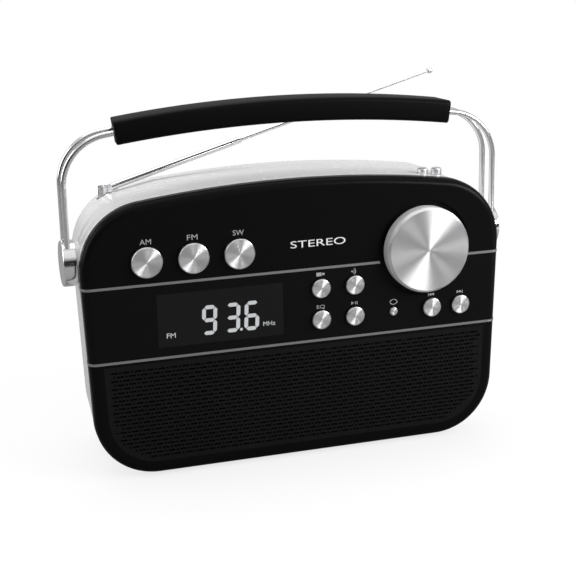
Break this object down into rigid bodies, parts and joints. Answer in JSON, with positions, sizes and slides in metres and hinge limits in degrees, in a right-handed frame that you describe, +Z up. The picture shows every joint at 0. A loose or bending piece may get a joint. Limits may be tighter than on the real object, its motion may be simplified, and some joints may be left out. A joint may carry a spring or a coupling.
{
  "type": "tabletop radio",
  "caption": "Portable tabletop radio with arched carrying handle, telescopic antenna, tuning knob, push buttons, display and a perforated speaker grille.",
  "frame": {"origin": "on the table plane, under the middle of the whole radio's bounding box", "axes": "+X to the right of someone facing the front, +Y towards the back, +Z up; the front faces -Y"},
  "size_m": [0.271, 0.098, 0.2254],
  "materials": {
    "black_plastic": "gloss",
    "grille_metal": "satin",
    "chrome_parts": "polished",
    "spun_metal": "satin",
    "window_plastic": "gloss",
    "white_plastic": "gloss",
    "port_plastic": "matte",
    "dark_parts": "matte",
    "circuit_board": "satin",
    "screw_steel": "satin",
    "socket_steel": "satin",
    "speaker_steel": "satin",
    "magnet_iron": "matte",
    "cone_paper": "matte",
    "cell_jackets": "satin",
    "ferrite": "matte",
    "copper_wire": "satin",
    "foot_rubber": "matte",
    "bush_plastic": "satin",
    "grip_cover": "satin"
  },
  "bodies": {
    "cabinet": {"front_cabinet": "black_plastic", "speaker_grille": "grille_metal", "upper_trim": "chrome_parts", "lower_trim": "chrome_parts", "display_window": "window_plastic", "display_module": "dark_parts", "control_board": "circuit_board", "button_switches": "dark_parts", "top_switch_board": "circuit_board", "knob_encoder": "dark_parts", "inner_screws": "screw_steel", "rear_cabinet": "white_plastic", "port_panel": "port_plastic", "usb_socket": "socket_steel", "aux_socket": "dark_parts", "headphone_socket": "dark_parts", "battery_cover": "white_plastic", "battery_cells": "cell_jackets", "cabinet_screws": "screw_steel", "main_board": "circuit_board", "ferrite_rod": "ferrite", "ferrite_coil": "copper_wire", "ferrite_clips": "dark_parts", "rubber_feet": "foot_rubber", "left_pivot_bush": "bush_plastic", "right_pivot_bush": "bush_plastic", "antenna_socket": "socket_steel", "left_speaker_frame": "speaker_steel", "left_speaker_cone": "cone_paper", "left_speaker_magnet": "magnet_iron", "right_speaker_frame": "speaker_steel", "right_speaker_cone": "cone_paper", "right_speaker_magnet": "magnet_iron"},
    "handle": {"left_hub": "chrome_parts", "right_hub": "chrome_parts", "pivot_bolts": "screw_steel", "front_rod": "chrome_parts", "rear_rod": "chrome_parts", "grip": "grip_cover"},
    "knob": {"tuning_knob": "black_plastic", "knob_face": "spun_metal", "knob_shaft": "socket_steel"},
    "am_button": {"am_button": "spun_metal"},
    "fm_button": {"fm_button": "spun_metal"},
    "sw_button": {"sw_button": "spun_metal"},
    "usb_button": {"usb_button": "spun_metal"},
    "wireless_button": {"wireless_button": "spun_metal"},
    "eq_button": {"eq_button": "spun_metal"},
    "play_button": {"play_button": "spun_metal"},
    "repeat_button": {"repeat_button": "spun_metal"},
    "previous_button": {"previous_button": "spun_metal"},
    "next_button": {"next_button": "spun_metal"},
    "power_button": {"power_button": "chrome_parts"},
    "light_button": {"light_button": "chrome_parts"},
    "antenna_base": {"antenna_turret": "chrome_parts", "antenna_pin": "socket_steel"},
    "antenna_tube_1": {"antenna_tube_1": "chrome_parts"},
    "antenna_tube_2": {"antenna_tube_2": "chrome_parts"},
    "antenna_tube_3": {"antenna_tube_3": "chrome_parts"},
    "antenna_tube_4": {"antenna_tube_4": "chrome_parts"}
  },
  "joints": [
    {"name": "handle_hinge", "type": "hinge", "parent": "cabinet", "child": "handle", "pos_m": [0, -0.013, 0.128], "axis": [1, 0, 0], "range_deg": [-8, 90]},
    {"name": "knob_turn", "type": "hinge", "parent": "cabinet", "child": "knob", "pos_m": [0.0785, -0.045, 0.1243], "axis": [0, 1, 0], "continuous": true},
    {"name": "am_button_press", "type": "slide", "parent": "cabinet", "child": "am_button", "axis": [0, 1, 0], "range_m": [0, 0.0012], "stiffness_N_per_m": 400},
    {"name": "fm_button_press", "type": "slide", "parent": "cabinet", "child": "fm_button", "axis": [0, 1, 0], "range_m": [0, 0.0012], "stiffness_N_per_m": 400},
    {"name": "sw_button_press", "type": "slide", "parent": "cabinet", "child": "sw_button", "axis": [0, 1, 0], "range_m": [0, 0.0012], "stiffness_N_per_m": 400},
    {"name": "usb_button_press", "type": "slide", "parent": "cabinet", "child": "usb_button", "axis": [0, 1, 0], "range_m": [0, 0.0008], "stiffness_N_per_m": 400},
    {"name": "wireless_button_press", "type": "slide", "parent": "cabinet", "child": "wireless_button", "axis": [0, 1, 0], "range_m": [0, 0.0008], "stiffness_N_per_m": 400},
    {"name": "eq_button_press", "type": "slide", "parent": "cabinet", "child": "eq_button", "axis": [0, 1, 0], "range_m": [0, 0.0008], "stiffness_N_per_m": 400},
    {"name": "play_button_press", "type": "slide", "parent": "cabinet", "child": "play_button", "axis": [0, 1, 0], "range_m": [0, 0.0008], "stiffness_N_per_m": 400},
    {"name": "repeat_button_press", "type": "slide", "parent": "cabinet", "child": "repeat_button", "axis": [0, 1, 0], "range_m": [0, 0.0006], "stiffness_N_per_m": 400},
    {"name": "previous_button_press", "type": "slide", "parent": "cabinet", "child": "previous_button", "axis": [0, 1, 0], "range_m": [0, 0.0008], "stiffness_N_per_m": 400},
    {"name": "next_button_press", "type": "slide", "parent": "cabinet", "child": "next_button", "axis": [0, 1, 0], "range_m": [0, 0.0008], "stiffness_N_per_m": 400},
    {"name": "power_button_press", "type": "slide", "parent": "cabinet", "child": "power_button", "axis": [0, 0, -1], "range_m": [0, 0.001], "stiffness_N_per_m": 400, "springref_m": -0.0005},
    {"name": "light_button_press", "type": "slide", "parent": "cabinet", "child": "light_button", "axis": [0, 0, -1], "range_m": [0, 0.001], "stiffness_N_per_m": 400, "springref_m": -0.0005},
    {"name": "antenna_swivel", "type": "hinge", "parent": "cabinet", "child": "antenna_base", "pos_m": [-0.10436, 0.017, 0.1632], "axis": [0, 0, 1], "range_deg": [0, 180]},
    {"name": "antenna_tilt", "type": "hinge", "parent": "antenna_base", "child": "antenna_tube_1", "pos_m": [-0.10436, 0.017, 0.1632], "axis": [0, -1, 0], "range_deg": [-3.5, 74]},
    {"name": "tube_2_slide", "type": "slide", "parent": "antenna_tube_1", "child": "antenna_tube_2", "axis": [0.9613, 0, 0.2756], "range_m": [0, 0.066]},
    {"name": "tube_3_slide", "type": "slide", "parent": "antenna_tube_2", "child": "antenna_tube_3", "axis": [0.9613, 0, 0.2756], "range_m": [-0.064, 0]},
    {"name": "tube_4_slide", "type": "slide", "parent": "antenna_tube_3", "child": "antenna_tube_4", "axis": [0.9613, 0, 0.2756], "range_m": [-0.061, 0]}
  ]
}
